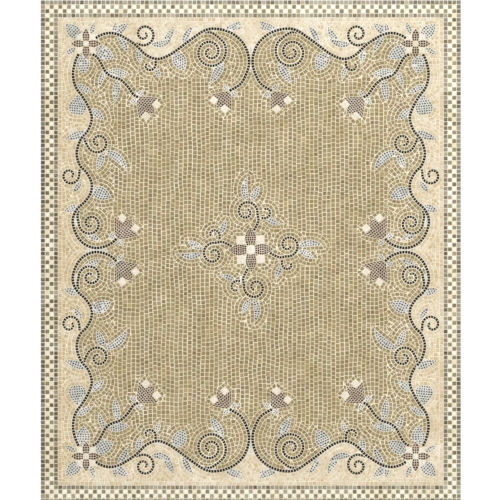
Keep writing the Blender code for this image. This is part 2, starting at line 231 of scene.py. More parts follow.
# %% [markdown]
# ## Cutting stones
#
# Each stone starts as a cell, the stone with half a joint round it. A mason lays a row, then cuts the
# next stone to fit what is there. The code does the same: a new cell is cut back along one straight
# line from each laid neighbour, on the side where that costs least, and a cell that loses too much is
# left out. So no two stones overlap, and cut stones appear only where rows meet.

# %% Cut a cell to fit its neighbours
GRID = 24.0
SHELF_REACH = 12.0
LEAST_SIDE = 0.05
TOUCH = 0.02
BURIED = 0.5
shelves = {}
stones = []


def cut(ring, nx, nz, limit):
    """Return the part of a convex outline that lies behind a straight line."""
    kept = []
    last = ring[-1]
    before = nx * last[0] + nz * last[1] - limit
    for corner in ring:
        here = nx * corner[0] + nz * corner[1] - limit
        if (here <= 0) != (before <= 0):
            share = before / (before - here)
            kept.append((last[0] + (corner[0] - last[0]) * share, last[1] + (corner[1] - last[1]) * share))
        if here <= 0:
            kept.append(corner)
        last, before = corner, here
    return kept


def area_of(ring):
    return sum(a[0] * b[1] - b[0] * a[1] for a, b in zip(ring, ring[1:] + ring[:1])) / 2


def sides_of(ring):
    """Return each side of an anticlockwise outline as an outward direction and a distance."""
    sides = []
    for (ax, az), (bx, bz) in zip(ring, ring[1:] + ring[:1]):
        length = math.hypot(bx - ax, bz - az)
        if length > LEAST_SIDE:
            nx, nz = (bz - az) / length, (ax - bx) / length
            sides.append((nx, nz, nx * ax + nz * az))
    return sides


def trimmed(ring, old):
    """Cut a new outline back so that it clears a laid stone, on the side where that costs least."""
    least, line = math.inf, None
    for nx, nz, limit in old["sides"]:
        depth = limit - min(nx * x + nz * z for x, z in ring)
        if depth <= TOUCH:
            return ring
        if depth < least:
            least, line = depth, (-nx, -nz, -limit)
    for nx, nz, limit in sides_of(ring):
        reach = min(nx * x + nz * z for x, z in old["ring"])
        depth = limit - reach
        if depth <= TOUCH:
            return ring
        if depth < least:
            least, line = depth, (nx, nz, reach)
    return cut(ring, *line)


def middle_of(ring):
    """Return the middle of an outline, and how far its farthest corner lies from there."""
    mx, mz = sum(x for x, _ in ring) / len(ring), sum(z for _, z in ring) / len(ring)
    return mx, mz, max(math.hypot(x - mx, z - mz) for x, z in ring)


def lay(ring, kind, way=None, least=None, joint=None):
    """Lay a stone, in a row that runs this way, if enough of its cell is free. Return whether it was."""
    if area_of(ring) < 0:
        ring = ring[::-1]
    least_area = area_of(ring) * (LEAST_SHARES.get(kind, LEAST_SHARE) if least is None else least)
    mx, mz, radius = middle_of(ring)
    shelf = shelves.get((round(mx / GRID), round(mz / GRID)), ())
    near = [old for old in shelf if math.hypot(old["x"] - mx, old["z"] - mz) < old["radius"] + radius]
    for old in near:
        if all(nx * mx + nz * mz < limit - BURIED for nx, nz, limit in old["sides"]):
            return False
    for old in near:
        ring = trimmed(ring, old)
        if len(ring) < 3 or area_of(ring) < least_area:
            return False
    mx, mz, radius = middle_of(ring)
    joint = JOINTS.get(kind, JOINT) if joint is None else joint
    stone = {"ring": ring, "sides": sides_of(ring), "x": mx, "z": mz, "radius": radius}
    stone.update(kind=kind, joint=joint, way=way)
    stones.append(stone)
    low_x, high_x = round((mx - SHELF_REACH) / GRID), round((mx + SHELF_REACH) / GRID)
    low_z, high_z = round((mz - SHELF_REACH) / GRID), round((mz + SHELF_REACH) / GRID)
    for column in range(low_x, high_x + 1):
        for row in range(low_z, high_z + 1):
            shelves.setdefault((column, row), []).append(stone)
    return True


def box_ring(x, z, along, length, width):
    """Return a rectangle round a point, with its length along a direction."""
    ax, az = along[0] * length / 2, along[1] * length / 2
    bx, bz = -along[1] * width / 2, along[0] * width / 2
    return [(x - ax - bx, z - az - bz), (x + ax - bx, z + az - bz),
            (x + ax + bx, z + az + bz), (x - ax + bx, z - az + bz)]


# %% [markdown]
# ## The border
#
# Four rings of square stones run round the edge, on one even grid: a dark line, two rings in a checker
# and a dark line again. A grid cell knows its ring from its distance to the nearest edge.

# %% Lay the border
def span(index, count, half):
    """Return where a grid cell starts and ends. At the panel's edge it takes in half a joint more."""
    pitch = 2 * half / count
    low, high = index * pitch - half, (index + 1) * pitch - half
    return low - (JOINT / 2 if index == 0 else 0), high + (JOINT / 2 if index == count - 1 else 0)


for column in range(BORDER_COLUMNS):
    for row in range(BORDER_LINES):
        ring_number = min(column, row, BORDER_COLUMNS - 1 - column, BORDER_LINES - 1 - row)
        if ring_number >= BORDER_ROWS:
            continue
        low_x, high_x = span(column, BORDER_COLUMNS, HALF_WIDTH)
        low_z, high_z = span(row, BORDER_LINES, HALF_HEIGHT)
        if ring_number == 0:
            kind = "outer_line"
        elif ring_number == BORDER_ROWS - 1:
            kind = "inner_line"
        else:
            kind = "checker_white" if (column + row) % 2 else "checker_olive"
        lay([(low_x, low_z), (high_x, low_z), (high_x, high_z), (low_x, high_z)], kind)
print("border:", BORDER_COLUMNS, "by", BORDER_LINES, "stones,", len(stones), "laid")

# %% [markdown]
# ## Flowers, buds and leaves
#
# A leaf, a petal and a bud are all laid in rows across their length. The width of each row comes from
# the outline, and the row is shared out between as many small stones as fit, so the rows narrow
# towards the tip as they do in the real work.

# %% Fill a pointed shape with rows of small stones
LEAST_HALF_WIDTH = 0.4
LEAF_BELLY, LEAF_POINT = 0.8, 0.75
PETAL_STONE = 5.7
PETAL_WIDEST = 0.42
PETAL_BASE, PETAL_SWELL, PETAL_POINT = 0.72, 0.28, 0.8
outlines, leaf_outlines = [], []


def fill(base, tip, half_width, pitch=SMALL_STONE, kind="leaf", bow=0.0):
    """Lay rows of stones from base to tip. half_width gives half the width at a share of the length."""
    along = tip - base
    length = along.length
    along = along / length
    across = Vector((-along.y, along.x))

    def spot(share_along, offset):
        bowed = base + along * length * share_along + across * 4 * bow * share_along * (1 - share_along)
        turned = (along * length + across * 4 * bow * (1 - 2 * share_along)).normalized()
        return bowed + Vector((-turned.y, turned.x)) * offset

    steps = max(2, round(length / pitch))
    for step in range(steps):
        start, end = step / steps, (step + 1) / steps
        wide = 2 * half_width((start + end) / 2)
        count = max(1, round(wide / pitch))
        for index in range(count):
            left, right = 2 * index / count - 1, 2 * (index + 1) / count - 1
            near, far = (max(half_width(share), LEAST_HALF_WIDTH) for share in (start, end))
            corners = [spot(start, near * left), spot(start, near * right),
                       spot(end, far * right), spot(end, far * left)]
            lay([tuple(corner) for corner in corners], kind)
    left = [spot(step / steps, half_width(step / steps)) for step in range(steps + 1)]
    right = [spot(step / steps, -half_width(step / steps)) for step in range(steps + 1)]
    outlines.append([*right, *left[::-1]])
    if kind == "leaf":
        leaf_outlines.append(outlines[-1])


def leaf_width(width):
    """Return the half width of a leaf that is widest a little before its middle."""
    def half(share):
        return width / 2 * math.sin(math.pi * min(max(share, 0.0), 1.0) ** LEAF_BELLY) ** LEAF_POINT
    return half


def petal_width(width):
    """Return the half width of a petal, which is blunt at its base and pointed at its tip."""
    def half(share):
        if share < PETAL_WIDEST:
            return width / 2 * (PETAL_BASE + PETAL_SWELL * math.sin(math.pi / 2 * share / PETAL_WIDEST))
        beyond = min((share - PETAL_WIDEST) / (1 - PETAL_WIDEST), 1.0)
        return width / 2 * math.cos(math.pi / 2 * beyond) ** PETAL_POINT
    return half


def lay_white(spot, along, size):
    """Lay a square white stone, and keep its outline for the rows beside it."""
    square = box_ring(spot.x, spot.y, along, size, size)
    lay(square, "white")
    outlines.append([Vector(corner) for corner in square])


# %% Lay the five flowers
MIDDLE_SHARE, MIDDLE_CORNERS = 1.12, 12


def flower(values, centre, first_angle=0.0):
    """Lay a round middle, four petals and the four white stones between them."""
    inner, outer, width, step, white = values
    round_ring = []
    for corner in range(MIDDLE_CORNERS):
        angle, radius = math.tau * corner / MIDDLE_CORNERS, inner * MIDDLE_SHARE
        round_ring.append((centre.x + radius * math.cos(angle), centre.y + radius * math.sin(angle)))
    lay(round_ring, "white")
    angles = [math.pi / 2 * turn + first_angle for turn in range(4)]
    ways = [Vector((math.cos(angle), math.sin(angle))) for angle in angles]
    for along in ways:
        fill(centre + along * inner, centre + along * outer, petal_width(width), PETAL_STONE, "rose")
    for along in ways:
        lay_white(centre + Vector((along.x - along.y, along.y + along.x)) * step, along, white)


quarters = [quarter(side_x, side_z) for side_x, side_z in ((-1, 1), (1, 1), (1, -1), (-1, -1))]
flower(CENTRE_FLOWER, centre_arm(0)((0, 0)), CENTRE_TURN)
for place in quarters:
    flower(CORNER_FLOWER, place(CORNER_FLOWER_PLACE))
print("with flowers:", len(stones))

# %% [markdown]
# A bud is a tulip seen from the side: its body widens to two side points, and a narrow middle petal
# rises between two white stones. The white stones are laid first, because the body is cut round them.

# %% Lay the twelve buds
BUD_EDGE = [(0.0, 0.12), (0.25, 0.27), (0.5, 0.41), (1.0, 0.64)]
LOBE_EDGE = [(0.0, 0.22), (0.45, 0.19), (1.0, 0.0)]
BUD_BODY = 0.62
BUD_WHITE = 15.0
BUD_WHITE_PLACE = (0.79, 0.36)


def profile(edge, length):
    """Return the half width at a share of a part's length, read off its profile."""
    def half(share):
        for (a, wide), (b, wider) in zip(edge, edge[1:]):
            if share <= b:
                return length * (wide + (wider - wide) * (share - a) / (b - a))
        return 0.0
    return half


for place in quarters:
    for base_drawn, tip_drawn in BUDS:
        base, tip = place(base_drawn), place(tip_drawn)
        along = tip - base
        across = Vector((-along.y, along.x))
        for side in (-1, 1):
            spot = base + along * BUD_WHITE_PLACE[0] + across * BUD_WHITE_PLACE[1] * side
            lay_white(spot, along.normalized(), BUD_WHITE)
        shoulder = base + along * BUD_BODY
        fill(base, shoulder, profile(BUD_EDGE, along.length), PETAL_STONE, "rose")
        fill(shoulder, tip, profile(LOBE_EDGE, along.length), PETAL_STONE, "rose")
print("with buds:", len(stones))

# %% [markdown]
# ## The vines
#
# A vine is a single line of near-black stones, each cut a little wider than long and set one behind the
# other along the curve. The spirals are laid in the same way. They come before the leaves, which are
# cut to fit against them.

# %% Lay the vines and spirals
strokes = []


def lay_stroke(points, width, pitch=VINE_STONE):
    """Lay stones end to end along a smooth run, and keep the run for the rows beside it."""
    run = smooth(points)
    ways = [(b - a).normalized() for a, b in zip(run, run[1:])]
    ways.append(ways[-1])
    lengths = [0.0]
    for a, b in zip(run, run[1:]):
        lengths.append(lengths[-1] + (b - a).length)
    count = max(2, round(lengths[-1] / pitch))
    marks, index = [], 0
    for step in range(count + 1):
        while index < len(run) - 2 and lengths[index + 1] < lengths[-1] * step / count:
            index += 1
        share = (lengths[-1] * step / count - lengths[index]) / (lengths[index + 1] - lengths[index])
        spot, way = run[index].lerp(run[index + 1], share), ways[index].lerp(ways[index + 1], share)
        across = Vector((-way.y, way.x)).normalized() * width / 2
        marks.append((spot - across, spot + across))
    for (a, b), (c, d) in zip(marks, marks[1:]):
        lay([tuple(a), tuple(c), tuple(d), tuple(b)], "vine")
    strokes.append((run, ways, width))


def lay_spiral(values, place):
    """Lay one drawn spiral where this function puts it."""
    lead, middle, radii, angles = values
    points = [*lead, *spiral_points(middle, radii, angles)]
    lay_stroke([place(point) for point in points], SPIRAL_WIDTH, SPIRAL_STONE)


for place in quarters:
    for vine in (TOP_VINE, DIAGONAL_VINE, SIDE_VINE):
        lay_stroke([place(point) for point in vine], VINE_WIDTH)
for place in quarters:
    for values in SPIRALS:
        lay_spiral(values, place)
arms = [centre_arm(turns) for turns in range(4)]
for place in arms:
    for values in CENTRE_SPIRALS:
        lay_spiral(values, place)
print("with vines:", len(stones))

# %% [markdown]
# Where two vines run close together, the strip between them is filled with small pale stones. The
# leaves are grey blue, and one of them is a broad round fan. Two small pointed leaves hold each bud.

# %% Lay the pale strips and the leaves
STRIP_STONE = 5.5
BUD_LEAF, BUD_LEAF_STONE = 12.5, 5.4
BUD_LEAF_SETBACK = 4
BUD_LEAF_TIP = (-3.0, 19.0)
FAN_LEAF = ((89, 229), (84, 276))
FAN_EDGE = [(0.0, 0.08), (0.15, 0.20), (0.36, 0.36), (0.62, 0.46), (0.84, 0.42), (1.0, 0.26)]


def lay_strip(points, width, place):
    """Lay a strip of small pale stones along a short run between two vines."""
    run = smooth([place(point) for point in points])
    length = sum((b - a).length for a, b in zip(run, run[1:]))
    count = round(length / STRIP_STONE)
    marks = [run[round(step * (len(run) - 1) / count)] for step in range(count + 1)]
    for a, b in zip(marks, marks[1:]):
        middle, way = (a + b) / 2, (b - a).normalized()
        lay(box_ring(middle.x, middle.y, way, (b - a).length, width), "strip")


def lay_leaf(values, place, turned):
    """Lay one drawn leaf. turned is -1 where the drawing is mirrored once, and bows the other way."""
    base, tip, width, bow = values
    fill(place(base), place(tip), leaf_width(width), bow=bow * turned)


for place, turned in zip(quarters, (1, -1, 1, -1)):
    for values in LEAVES:
        lay_leaf(values, place, turned)
    for base_drawn, tip_drawn in BUDS:
        base, tip = place(base_drawn), place(tip_drawn)
        along = (tip - base).normalized()
        across = Vector((-along.y, along.x))
        for side in (-1, 1):
            start = base - along * BUD_LEAF_SETBACK + across * BUD_LEAF_SETBACK * side
            tip = start + along * BUD_LEAF_TIP[0] + across * BUD_LEAF_TIP[1] * side
            fill(start, tip, leaf_width(BUD_LEAF), BUD_LEAF_STONE)
    base, tip = (place(point) for point in FAN_LEAF)
    fill(base, tip, profile(FAN_EDGE, (tip - base).length))
    for points, width in PALE_STRIPS:
        lay_strip(points, width, place)
for place in arms:
    for values in CENTRE_LEAVES:
        lay_leaf(values, place, 1)
print("with leaves:", len(stones))

# %% [markdown]
# ## The ground
#
# The ground stones follow the ornament: the first row runs beside every vine, leaf and flower, the
# second beside the first, and so on until rows from two sides meet. Far from the ornament the rows
# give way to plain upright columns. To know which row belongs where, the edges of all ornament go into
# a search tree: a stone is laid in a row only where no other edge is nearer than its own.

# %% Collect the edges that rows follow
EDGE_STEP = 1.0
FAN_STEP = math.radians(20)
SAME_PLACE = 1e-6


def edge_samples(ring):
    """Return places along an outline, each with its outward direction, fanned round its corners."""
    samples = []
    sides = [(a, b) for a, b in zip(ring, ring[1:] + ring[:1]) if (b - a).length > SAME_PLACE]
    ways = [(b - a).normalized() for a, b in sides]
    ring = [a for a, b in sides]
    for index, (a, b) in enumerate(zip(ring, ring[1:] + ring[:1])):
        way, last = ways[index], ways[index - 1]
        turn = math.atan2(last.cross(way), last.dot(way))
        for step in range(1, int(turn / FAN_STEP) + 1):
            angle = math.atan2(last.y, last.x) + step * FAN_STEP
            samples.append((a.x, a.y, math.sin(angle), -math.cos(angle)))
        count = max(1, round((b - a).length / EDGE_STEP))
        for step in range(count):
            spot = a.lerp(b, step / count)
            samples.append((spot.x, spot.y, way.y, -way.x))
    return samples


guides = []
for run, ways, width in strokes:
    for side in (-1, 1):
        half = width / 2 * side
        samples = [(p.x - w.y * half, p.y + w.x * half, -w.y * side, w.x * side) for p, w in zip(run, ways)]
        guides.append(samples)
for ring in outlines:
    closed_ring = ring if sum(a.cross(b) for a, b in zip(ring, ring[1:] + ring[:1])) > 0 else ring[::-1]
    guides.append(edge_samples(closed_ring))
inner_x, inner_z = HALF_WIDTH - BORDER, HALF_HEIGHT - BORDER
frame_corners = [(-inner_x, inner_z), (inner_x, inner_z), (inner_x, -inner_z), (-inner_x, -inner_z)]
guides.append(edge_samples([Vector(corner) for corner in frame_corners]))
tree = kdtree.KDTree(sum(len(samples) for samples in guides))
for samples in guides:
    for x, z, _, _ in samples:
        tree.insert((x, z, 0), 0)
tree.balance()
print("edges:", len(guides), "samples:", sum(len(samples) for samples in guides))

# %% [markdown]
# The vines also part the two grounds: cream outside and olive inside. One quarter of that line is
# enough, because a stone's place can be folded into it.

# %% Tell the field from the cream ground
PAST_MIDDLE = 10.0
FIELD_STEP = 4.0
top_run = smooth([top_left(point) for point in TOP_VINE], FIELD_STEP)
side_run = smooth([top_left(point) for point in SIDE_VINE], FIELD_STEP)
top_run = top_run[:min(range(len(top_run)), key=lambda i: abs(top_run[i].x)) + 1]
side_run = side_run[:min(range(len(side_run)), key=lambda i: abs(side_run[i].y - ORNAMENT_RISE)) + 1]
field_edge = [Vector((PAST_MIDDLE, -PAST_MIDDLE)), Vector((PAST_MIDDLE, top_run[-1].y)), *top_run[::-1]]
field_edge += [top_left(CORNER_FLOWER_PLACE), *side_run, Vector((side_run[-1].x, -PAST_MIDDLE))]


def in_field(x, z):
    """Return whether a place lies inside the vines."""
    x, z = -abs(x), abs(z - ORNAMENT_RISE) + ORNAMENT_RISE
    inside = False
    for a, b in zip(field_edge, field_edge[1:] + field_edge[:1]):
        if (a.y > z) != (b.y > z) and x < (b.x - a.x) * (z - a.y) / (b.y - a.y) + a.x:
            inside = not inside
    return inside


print("field edge points:", len(field_edge))

# %% [markdown]
# Now the rows. Row by row, the code walks along every edge at the row's distance. A stone's two sides
# stand square on the edge, so the stones of a row are wedges where it bends and no gap opens between
# them. Where there is no room, the code tries again a millimetre further on.

# %% Lay the rows beside the ornament
ROWS = 9
LEAST_WEDGE = 0.45
WEDGE_LENGTHS = (0.94, 1.08)
INNER_X, INNER_Z = 332.0, 420.0
MEDALLION_REACH = 205.0
MEDALLION_ROWS, MIDDLE_ROWS = 2, 1
CLEAR = 0.9


def row_allowed(x, z, row):
    """Return whether a row of this number may run here: many outside, few in the plain middle."""
    if abs(x) > INNER_X or abs(z) > INNER_Z:
        return True
    return row <= (MEDALLION_ROWS if math.hypot(x, z) < MEDALLION_REACH else MIDDLE_ROWS)


def lay_wedge(first, last, near, far):
    """Lay a ground stone between two places on an edge, from a near to a far distance off it."""
    a, b, c, d = (
        Vector((x + nx * away, z + nz * away))
        for (x, z, nx, nz), away in ((first, near), (last, near), (last, far), (first, far))
    )
    long_side, short_side = max((b - a).length, (c - d).length), min((b - a).length, (c - d).length)
    if (b - a).dot(c - d) <= 0 or short_side < LEAST_WEDGE * long_side:
        return False
    middle = (a + b + c + d) / 4
    kind = "olive" if in_field(middle.x, middle.y) else "cream"
    return lay([tuple(a), tuple(b), tuple(c), tuple(d)], kind, (b - a + c - d).normalized())


def lay_row(samples, row):
    """Lay one row of ground stones along an edge."""
    near, far = (row - 1) * GROUND_STONE, row * GROUND_STONE
    middle = (near + far) / 2
    taken, marks, length = [], [], GROUND_STONE
    for x, z, nx, nz in samples:
        spot = (x + nx * middle, z + nz * middle)
        free = abs(spot[0]) < inner_x and abs(spot[1]) < inner_z and row_allowed(*spot, row)
        if not free or tree.find((*spot, 0))[2] < middle - CLEAR:
            taken, marks = [], []
            continue
        taken.append((x, z, nx, nz))
        marks.append(marks[-1] + math.dist(spot, last_spot) if marks else 0.0)
        last_spot = spot
        if marks[-1] - marks[0] < length:
            continue
        if lay_wedge(taken[0], taken[-1], near, far):
            taken, marks = taken[-1:], marks[-1:]
            length = GROUND_STONE * random.uniform(*WEDGE_LENGTHS)
        while marks[-1] - marks[0] >= length:
            taken, marks = taken[1:], marks[1:]


for row in range(1, ROWS + 1):
    for samples in guides:
        lay_row(samples, row)
    print("row", row, "stones:", len(stones))

# %% [markdown]
# The middle of the field is plain upright columns. No hand lays them dead straight, so each wanders a
# millimetre or two from side to side, and its neighbours wander with it.

# %% Lay the upright columns of the field
COLUMN_HEIGHTS = (0.9, 1.06)
WANDER, WANDER_LENGTH, WANDER_BESIDE, WANDER_LAYER = 3.2, 55, 0.17, 0.5
SPARE_COLUMNS = 2
START_BELOW = 1.5
TRY_AGAIN = 1.0
column_count = math.ceil(INNER_X / COLUMN) + SPARE_COLUMNS
for number in range(-column_count, column_count + 1):
    z = -INNER_Z - COLUMN * (START_BELOW + random.random())
    while z < INNER_Z + SPARE_COLUMNS * COLUMN:
        wave = noise.noise(Vector((number * WANDER_BESIDE, z / WANDER_LENGTH, WANDER_LAYER)))
        x = number * COLUMN + WANDER * wave
        height = COLUMN * random.uniform(*COLUMN_HEIGHTS)
        cell = box_ring(x, z, (1, 0), COLUMN, height)
        laid = in_field(x, z) and lay(cell, "olive_column", (0, 1))
        z += height if laid else TRY_AGAIN
print("with columns:", len(stones))

# %% [markdown]
# Small gaps are left where rows meet. The mason fills them with offcuts. The code looks twice for free
# spots on a fine grid: for large offcuts first, then for any down to a few millimetres.

# %% Fill the gaps with offcuts
SEARCH_STEP = 2.0
OFFCUT = 9.5
LEAST_OFFCUT = 8.0
OFFCUT_JOINT = 1.2
FIRST_PASS_SHARE = 0.55
COVER = 0.3


def covered(x, z, shelf):
    """Return whether a place lies in one of these stones, or a hair beside it."""
    return any(all(nx * x + nz * z < limit + COVER for nx, nz, limit in old["sides"]) for old in shelf)


gaps = 0
for least in (FIRST_PASS_SHARE, LEAST_OFFCUT / OFFCUT**2):
    for i in range(int(-inner_x / SEARCH_STEP), int(inner_x / SEARCH_STEP) + 1):
        for j in range(int(-inner_z / SEARCH_STEP), int(inner_z / SEARCH_STEP) + 1):
            x, z = i * SEARCH_STEP, j * SEARCH_STEP
            near = shelves.get((round(x / GRID), round(z / GRID)), ())
            if covered(x, z, near):
                continue
            beside = min(near, key=lambda old: (old["x"] - x) ** 2 + (old["z"] - z) ** 2, default=None)
            way = beside["sides"][0][:2] if beside else (1, 0)
            kind = "olive" if in_field(x, z) else "cream"
            gaps += lay(box_ring(x, z, way, OFFCUT, OFFCUT), kind, least=least, joint=OFFCUT_JOINT)
print("offcuts:", gaps, "stones in all:", len(stones))

# %% [markdown]
# ## Materials
#
# The stones are marble, sawn into rods, split into small blocks and honed, so each has a soft sheen and
# its own shade out of one quarry. A shade is stored in every stone, as a number from 0 to 1. The
# material turns it into a colour, clouds it with a slow pattern, draws a few veins and roughens the
# honed face a little.

# %% Helpers for colours and nodes
def linear(code):
    """Turn an sRGB hex colour into the linear values that a shader works with."""
    shares = [int(code[i:i + 2], 16) / 255 for i in (0, 2, 4)]
    return [v / 12.92 if v <= 0.04045 else ((v + 0.055) / 1.055) ** 2.4 for v in shares] + [1.0]


def add(owner, kind, inputs=None, **settings):
    """Add a node to a material or world. An input is a value, or the socket that it is linked to."""
    node = owner.node_tree.nodes.new("ShaderNode" + kind)
    for name, value in settings.items():
        setattr(node, name, value)
    for name, value in (inputs or {}).items():
        if isinstance(value, bpy.types.NodeSocket):
            owner.node_tree.links.new(value, node.inputs[name])
        else:
            node.inputs[name].default_value = value
    return node


def ramp(material, factor, stops):
    """Add a colour ramp with stops of a place and an sRGB hex colour."""
    node = add(material, "ValToRGB", {"Fac": factor})
    for index, (place, code) in enumerate(stops):
        if index > 1:
            node.color_ramp.elements.new(place)
    for element, (place, code) in zip(node.color_ramp.elements, stops):
        element.position = place
        element.color = linear(code)
    return node.outputs["Color"]


def blank(name):
    """Return a new material and its shader, with no other node than the output."""
    material = bpy.data.materials.new(name)
    material.use_nodes = True
    material.node_tree.nodes.clear()
    shader = add(material, "BsdfPrincipled")
    add(material, "OutputMaterial", {"Surface": shader.outputs["BSDF"]})
    return material, shader


def join(owner, shader, **sockets):
    """Link sockets to the shader's inputs."""
    for name, socket in sockets.items():
        owner.node_tree.links.new(socket, shader.inputs[name.replace("_", " ")])


# %% Marble, from its shades and its vein colour
CLOUD_MM, VEIN_MM, BATCH_MM, GRAIN_MM = 4.0, 14.0, 110.0, 0.7
BLOCK_SHIFT = (0.7, 0.9, 1.3)
BATCH_SPREAD, ROUGHNESS_RANGE = (-0.12, 0.12, 0.35, 0.65), (0.38, 0.56)
VEIN_DETAIL, VEIN_EDGE = 6.0, 0.02
GRAIN_STRENGTH, GRAIN_HEIGHT = 0.35, 0.12


def noise_of(material, vector, size_mm, detail=3.0):
    """Add a noise pattern whose spots are about this many millimetres across."""
    node = add(material, "TexNoise", {"Vector": vector, "Scale": 1 / (size_mm * MM), "Detail": detail})
    return node.outputs["Fac"]


def spread(material, value, low, high, near=0.3, far=0.7):
    """Stretch a pattern's usual values, from near to far, over low to high."""
    inputs = {"Value": value, "From Min": near, "From Max": far, "To Min": low, "To Max": high}
    return add(material, "MapRange", inputs).outputs["Result"]


def total(material, first, second):
    return add(material, "Math", {0: first, 1: second}, operation="ADD").outputs["Value"]


def marble(name, shades, vein, hues=None, cloud=0.35, vein_share=0.45, gloss=0.3):
    """Return honed marble whose stones differ in shade, and in hue between the two that are given."""
    material, shader = blank(name)
    shader.inputs["Specular IOR Level"].default_value = gloss
    tone = add(material, "Attribute", attribute_name="tone").outputs["Fac"]
    hue = add(material, "Attribute", attribute_name="hue").outputs["Fac"]
    place = add(material, "TexCoord").outputs["Object"]
    shift = add(material, "VectorMath", {0: tone, 1: BLOCK_SHIFT}, operation="MULTIPLY")
    inside = add(material, "VectorMath", {0: place, 1: shift.outputs[0]}, operation="ADD").outputs[0]
    batch = spread(material, noise_of(material, place, BATCH_MM), *BATCH_SPREAD)
    clouds = spread(material, noise_of(material, inside, CLOUD_MM), -cloud / 2, cloud / 2)
    shade = total(material, total(material, tone, batch), clouds)
    colour = ramp(material, shade, shades)
    if hues:
        tint = ramp(material, hue, [(0.0, hues[0]), (0.5, "FFFFFF"), (1.0, hues[1])])
        inputs = {"Fac": 1.0, "Color1": colour, "Color2": tint}
        colour = add(material, "MixRGB", inputs, blend_type="MULTIPLY").outputs["Color"]
    bend = noise_of(material, inside, VEIN_MM, VEIN_DETAIL)
    middle = add(material, "Math", {0: bend, 1: 0.5}, operation="SUBTRACT").outputs["Value"]
    away = add(material, "Math", {0: middle}, operation="ABSOLUTE").outputs["Value"]
    veins = spread(material, away, vein_share, 0.0, 0.0, VEIN_EDGE)
    inputs = {"Fac": veins, "Color1": colour, "Color2": linear(vein)}
    colour = add(material, "MixRGB", inputs).outputs["Color"]
    grain = noise_of(material, place, GRAIN_MM)
    roughness = spread(material, grain, *ROUGHNESS_RANGE)
    inputs = {"Height": grain, "Strength": GRAIN_STRENGTH, "Distance": GRAIN_HEIGHT * MM}
    bump = add(material, "Bump", inputs)
    join(material, shader, Base_Color=colour, Roughness=roughness, Normal=bump.outputs["Normal"])
    return material


# %% [markdown]
# Honed olive limestone runs from greenish to tan. Cream marble has pinkish and yellowish stones. The
# vines are of a blue-black limestone with hardly a vein, and the flowers of a brown-red marble.

# %% The marbles of this panel
olive_marble = marble("honed_olive_limestone", [
    (0.0, "86754C"), (0.3, "958459"), (0.55, "A18F66"), (0.8, "AC9A6F"), (1.0, "BCA97D"),
], "CDBA8B", ("F7FFF2", "FFF5EF"))
cream_marble = marble("honed_cream_marble", [
    (0.0, "C3AD81"), (0.25, "D0BC94"), (0.5, "DCCDAF"), (0.75, "E7DDC8"), (1.0, "F1EBDF"),
], "F8F2E6", ("FEFFF6", "FFF8F5"), cloud=0.3)
checker_olive_marble = marble("honed_moss_grey_limestone", [
    (0.0, "6E664A"), (0.35, "877F60"), (0.65, "9A9373"), (1.0, "B4AE92"),
], "CCC6A6", ("F8FFF5", "FFF8F2"))
checker_white_marble = marble("honed_ivory_marble", [
    (0.0, "E9DCBE"), (0.4, "F8F0DE"), (1.0, "FFFCF4"),
], "FFFDF6", cloud=0.3, vein_share=0.3)
line_marble = marble("honed_dark_olive_limestone", [
    (0.0, "5E5644"), (0.3, "7E7662"), (0.6, "9E9683"), (1.0, "BFB8A6"),
], "CBC3B0", ("F9FFFA", "FFF9F4"))
black_marble = marble("honed_blue_black_limestone", [
    (0.0, "0D0D0D"), (0.5, "141414"), (0.85, "202020"), (1.0, "343433"),
], "4F4E4C", vein_share=0.15, gloss=0.15)
leaf_marble = marble("honed_grey_blue_marble", [
    (0.0, "3A3F3E"), (0.4, "515653"), (0.75, "6B706C"), (1.0, "8B908B"),
], "B5B9B4", ("F8FFF6", "F8F4FF"))
strip_marble = marble("honed_pale_blue_marble", [
    (0.0, "A9B4B2"), (0.5, "C0CAC8"), (1.0, "D6DEDC"),
], "E6EBEA")
rose_marble = marble("honed_brown_red_marble", [
    (0.0, "29170E"), (0.4, "442A1D"), (0.75, "604333"), (1.0, "866654"),
], "A58573", ("FFFBEC", "FFEAEA"))
white_marble = marble("honed_white_marble", [
    (0.0, "DDD3BC"), (0.5, "F0E8D5"), (1.0, "FBF6EA"),
], "B8AE98", cloud=0.5)
print("materials:", len(bpy.data.materials))

# %% [markdown]
# The joints are filled with a pale cement mortar, trowelled over the stones and wiped off, so it lies a
# little below their faces and is finely sandy. The mesh behind is woven of bright glass-fibre threads
# stiffened with a milky resin.

# %% Mortar and mesh materials
SAND_MM, STAIN_MM, MORTAR_DETAIL = 1.1, 42.0, 4.0
SAND_RANGE, SHADE_PLACES = (-0.12, 0.12), (0.3, 0.5, 0.7)
SAND_STRENGTH, SAND_HEIGHT = 0.8, 0.4
FIBRE_SCALE, FIBRE_HEIGHT = 3000.0, 0.0001


def mortar(name, shades):
    """Return sandy cement mortar in three shades."""
    material, shader = blank(name)
    shader.inputs["Roughness"].default_value = 0.9
    shader.inputs["Specular IOR Level"].default_value = 0.2
    place = add(material, "TexCoord").outputs["Object"]
    sand = noise_of(material, place, SAND_MM, MORTAR_DETAIL)
    stains = noise_of(material, place, STAIN_MM, MORTAR_DETAIL)
    mixed = total(material, stains, spread(material, sand, *SAND_RANGE))
    colour = ramp(material, mixed, list(zip(SHADE_PLACES, shades)))
    inputs = {"Height": sand, "Strength": SAND_STRENGTH, "Distance": SAND_HEIGHT * MM}
    bump = add(material, "Bump", inputs)
    join(material, shader, Base_Color=colour, Normal=bump.outputs["Normal"])
    return material


mortar_material = mortar("wiped_cement_mortar", ("E9DCBC", "F5EBD0", "FFF8E4"))
leaf_mortar_material = mortar("wiped_white_cement_mortar", ("D7D4C8", "E6E3D8", "F5F2E9"))

